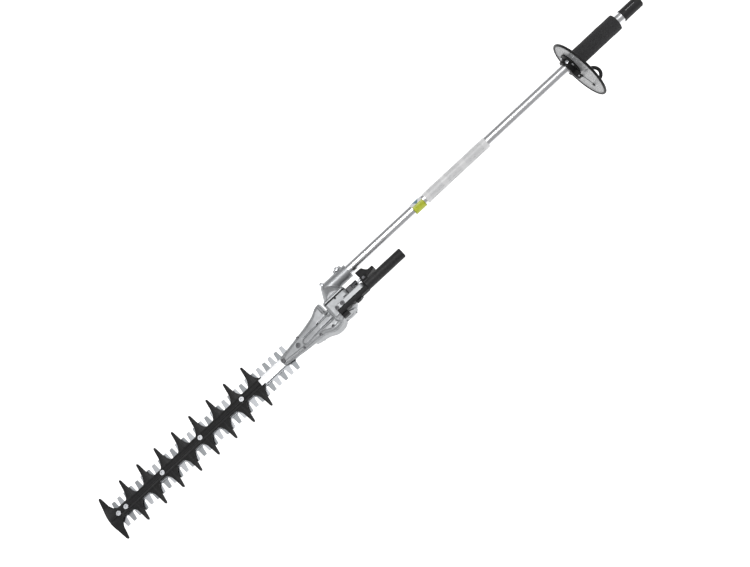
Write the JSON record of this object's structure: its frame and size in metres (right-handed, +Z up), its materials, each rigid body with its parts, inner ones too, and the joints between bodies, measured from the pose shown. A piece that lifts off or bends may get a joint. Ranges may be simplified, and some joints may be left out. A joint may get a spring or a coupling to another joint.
{
  "type": "hedge trimmer",
  "caption": "Articulated hedge trimmer head on a straight drive tube, with twin reciprocating blades, guard, folding gear case, release handle, barrier disc and foam grip.",
  "frame": {"origin": "on the drive tube's axis, at the middle of the bare spigot ring at the coupling end", "axes": "+X along the tool towards the cutter tip, +Y towards the side with the handle, +Z up, away from the blades"},
  "size_m": [1.6381, 0.1547, 0.154],
  "materials": {
    "polished_tube": "polished",
    "cast_case": "satin cast",
    "black_plastic": "fine texture",
    "foam": "closed-cell foam",
    "smoke_disc": "translucent smoke grey",
    "white_label": "printed film",
    "yellow_sticker": "printed film",
    "blade_steel": "ground",
    "gear_steel": "machined",
    "bearing_steel": "polished",
    "bronze": "plain",
    "fastener": "zinc plated",
    "dark_housing": "satin grey",
    "gasket": "plain"
  },
  "bodies": {
    "shaft": {"drive_tube": "polished_tube", "foam_grip": "foam", "barrier_disc": "smoke_disc", "barrier_rim": "black_plastic", "barrier_clamp_rear": "black_plastic", "barrier_clamp_front": "black_plastic", "barrier_screws": "fastener", "strap_eye": "black_plastic", "tube_label": "white_label", "safety_sticker": "yellow_sticker", "shaft_bushes": "bronze", "pinion_bearing": "bearing_steel", "upper_gear_case": "cast_case", "case_clamp_bolts": "fastener", "index_plate": "black_plastic", "index_plate_screws": "fastener", "cross_bearings": "bearing_steel"},
    "coupling_cap": {"end_cap": "black_plastic"},
    "drive": {"drive_shaft": "gear_steel", "drive_pinion": "gear_steel"},
    "cross": {"cross_shaft": "gear_steel", "cross_gear": "gear_steel", "cross_bevel": "gear_steel"},
    "cutter_head": {"pivot_ring": "gear_steel", "pivot_ring_screws": "fastener", "lower_gear_case": "cast_case", "pivot_side_cover": "cast_case", "side_cover_screws": "fastener", "bottom_cover": "cast_case", "cover_gasket": "gasket", "cover_screws": "fastener", "second_bearing": "bearing_steel", "crank_bearing": "bearing_steel", "guide_bar": "blade_steel", "blade_guard": "black_plastic", "nose_plate": "blade_steel", "blade_bolts": "fastener", "case_bar_bolts": "fastener", "blade_washers": "fastener", "blade_nuts": "fastener", "grease_plugs": "fastener", "handle_bracket": "cast_case", "handle_base": "black_plastic", "handle_core": "fastener", "handle_grip": "black_plastic", "handle_bolts": "fastener", "lever_pin": "fastener", "lever_spring": "fastener", "lock_spring": "fastener", "lock_housing": "dark_housing"},
    "second": {"second_shaft": "gear_steel"},
    "crank": {"crank_gear": "gear_steel", "crank_disc": "gear_steel"},
    "upper_cutter": {"upper_blade": "blade_steel", "upper_yoke": "blade_steel"},
    "lower_cutter": {"lower_blade": "blade_steel", "lower_yoke": "blade_steel"},
    "lever": {"release_lever": "black_plastic"},
    "pin": {"lock_pin": "fastener"}
  },
  "joints": [
    {"name": "fold", "type": "hinge", "parent": "shaft", "child": "cutter_head", "pos_m": [0.87125, 0.044, 0], "axis": [0, 1, 0], "range_deg": [-45, 90]},
    {"name": "release_lever", "type": "hinge", "parent": "cutter_head", "child": "lever", "pos_m": [0.79525, 0.0514, 0.024], "axis": [0, 0, -1], "range_deg": [0, 12], "stiffness_Nm_per_rad": 0.8, "springref_deg": -17.19},
    {"name": "lock_pin_slide", "type": "slide", "parent": "cutter_head", "child": "pin", "axis": [-1, 0, 0], "range_m": [0, 0.004]},
    {"name": "drive_spin", "type": "hinge", "parent": "shaft", "child": "drive", "pos_m": [0.87125, 0, 0], "axis": [1, 0, 0], "continuous": true},
    {"name": "cross_spin", "type": "hinge", "parent": "shaft", "child": "cross", "pos_m": [0.87125, 0.044, 0], "axis": [0, 1, 0], "continuous": true},
    {"name": "second_spin", "type": "hinge", "parent": "cutter_head", "child": "second", "pos_m": [0.87125, 0.044, 0], "axis": [1, 0, 0], "continuous": true},
    {"name": "crank_spin", "type": "hinge", "parent": "cutter_head", "child": "crank", "pos_m": [0.92325, 0.044, 0], "axis": [0, 0, 1], "continuous": true},
    {"name": "upper_blade_slide", "type": "slide", "parent": "cutter_head", "child": "upper_cutter", "axis": [1, 0, 0], "range_m": [-0.0175, 0]},
    {"name": "lower_blade_slide", "type": "slide", "parent": "cutter_head", "child": "lower_cutter", "axis": [1, 0, 0], "range_m": [0, 0.0175]},
    {"name": "cap_pull", "type": "slide", "parent": "shaft", "child": "coupling_cap", "axis": [-1, 0, 0], "range_m": [0, 0.12]}
  ],
  "couplings": [
    {"joint": "lock_pin_slide", "follows": "release_lever", "m_per_rad": 0.019},
    {"joint": "cross_spin", "follows": "drive_spin", "ratio": 0.5},
    {"joint": "second_spin", "follows": "drive_spin", "ratio": 0.5},
    {"joint": "crank_spin", "follows": "drive_spin", "ratio": -0.125},
    {"joint": "lower_blade_slide", "follows": "upper_blade_slide", "ratio": -1}
  ]
}
